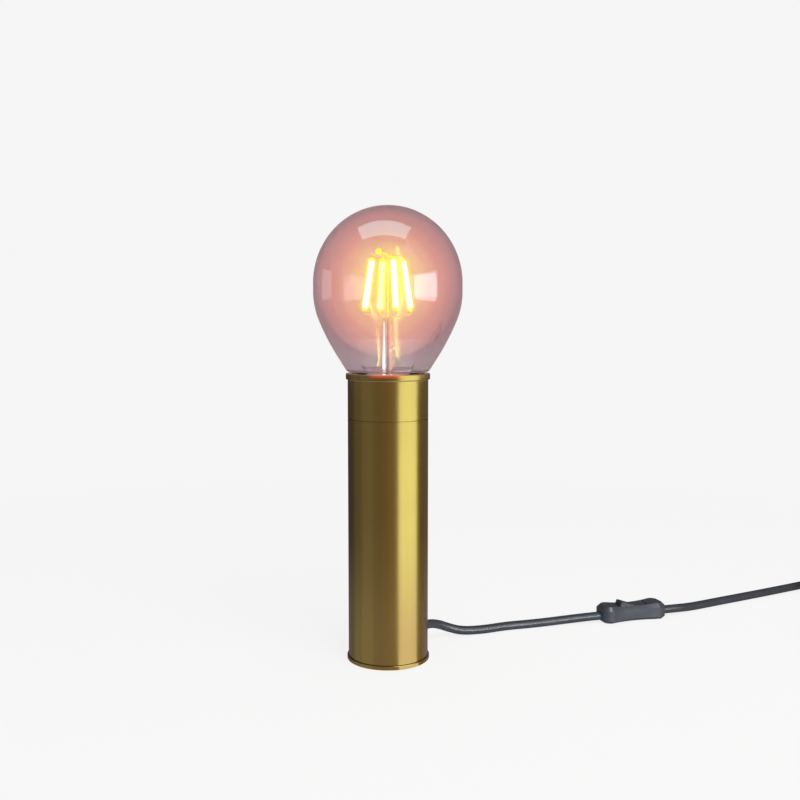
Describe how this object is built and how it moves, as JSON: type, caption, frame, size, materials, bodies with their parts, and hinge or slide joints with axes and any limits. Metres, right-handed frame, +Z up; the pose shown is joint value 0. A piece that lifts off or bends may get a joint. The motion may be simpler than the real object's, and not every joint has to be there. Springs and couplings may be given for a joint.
{
  "type": "bare bulb table lamp",
  "caption": "Table lamp: a brass tube on a weighted foot with a screw lampholder in its top, a large bare filament bulb, and a mains lead with a rocker switch and plug.",
  "frame": {"origin": "centre of the foot, on the surface that the lamp stands on", "axes": "+Z up along the tube to the bulb, +X to the right in the picture, towards the switch and plug, +Y away from the viewer"},
  "size_m": [0.4693, 0.2288, 0.2887],
  "materials": {
    "satin_brass": "satin lacquered",
    "contact_brass": "bare stamped",
    "felt": "wool felt",
    "ballast_iron": "turned casting",
    "zinc_steel": "zinc plated",
    "holder_black": "moulded phenolic",
    "ceramic": "glazed",
    "cord_jacket": "smooth moulded",
    "switch_plastic": "fine texture",
    "core_brown": "insulated core",
    "tinted_glass": "clear tinted",
    "stem_glass": "clear",
    "filament_glow": "luminous phosphor coat",
    "filament_wire": "drawn nickel wire",
    "cap_nickel": "nickel-plated brass",
    "vitrite": "black glass",
    "circuit_board": "laminate",
    "strap_black": "woven strap"
  },
  "bodies": {
    "lamp": {"felt_pad": "felt", "base_plate": "satin_brass", "base_screws": "zinc_steel", "ballast_weight": "ballast_iron", "strain_relief": "switch_plastic", "tube": "satin_brass", "sleeve_coupler": "contact_brass", "top_sleeve": "satin_brass", "rim_cap": "satin_brass", "threaded_rod": "zinc_steel", "rod_nuts": "zinc_steel", "rod_washers": "zinc_steel", "inner_lead": "cord_jacket", "holder_base": "holder_black", "holder_skirt": "holder_black", "shade_ring_lower": "holder_black", "shade_ring_upper": "holder_black", "holder_insert": "ceramic", "shell_support": "ceramic", "screw_shell": "contact_brass", "centre_contact": "contact_brass", "holder_terminals": "contact_brass", "terminal_screws": "zinc_steel", "holder_wires": "core_brown", "switch_base": "switch_plastic", "switch_cover": "switch_plastic", "cover_screws": "zinc_steel", "rocker_pin": "zinc_steel", "fixed_contacts": "contact_brass", "switch_terminals": "contact_brass", "switch_terminal_screws": "zinc_steel", "switch_leads": "cord_jacket", "cord_clamps": "switch_plastic", "switch_cores": "core_brown", "cord_to_switch": "cord_jacket", "cord_to_coil": "cord_jacket", "cord_coil": "cord_jacket", "coil_tie": "strap_black", "cord_to_plug": "cord_jacket", "plug_relief": "cord_jacket", "plug_body": "cord_jacket", "plug_pins": "cap_nickel", "pin_sleeves": "holder_black"},
    "rocker": {"rocker": "switch_plastic", "contact_bridge": "contact_brass"},
    "bulb_tip": {"bulb_contact": "cap_nickel"},
    "bulb": {"bulb_glass": "tinted_glass", "bulb_stem": "stem_glass", "centre_post": "filament_wire", "upper_arms": "filament_wire", "lower_arms": "filament_wire", "bulb_cap": "cap_nickel", "bulb_insulator": "vitrite", "driver_board": "circuit_board", "driver_capacitor": "vitrite", "led_filament_1": "filament_glow", "led_filament_2": "filament_glow", "led_filament_3": "filament_glow", "led_filament_4": "filament_glow"}
  },
  "joints": [
    {"name": "rocker_tilt", "type": "hinge", "parent": "lamp", "child": "rocker", "pos_m": [0.1762, 0.0825, 0.0086], "axis": [-0.2924, 0.9563, 0], "range_deg": [-19, 0]},
    {"name": "bulb_lift", "type": "slide", "parent": "lamp", "child": "bulb_tip", "axis": [0, 0, 1], "range_m": [0, 0.0164]},
    {"name": "bulb_turn", "type": "hinge", "parent": "bulb_tip", "child": "bulb", "pos_m": [0, 0, 0.17], "axis": [0, 0, 1], "range_deg": [0, 1620]}
  ],
  "couplings": [
    {"joint": "bulb_lift", "follows": "bulb_turn", "m_per_rad": 0.00057757}
  ]
}
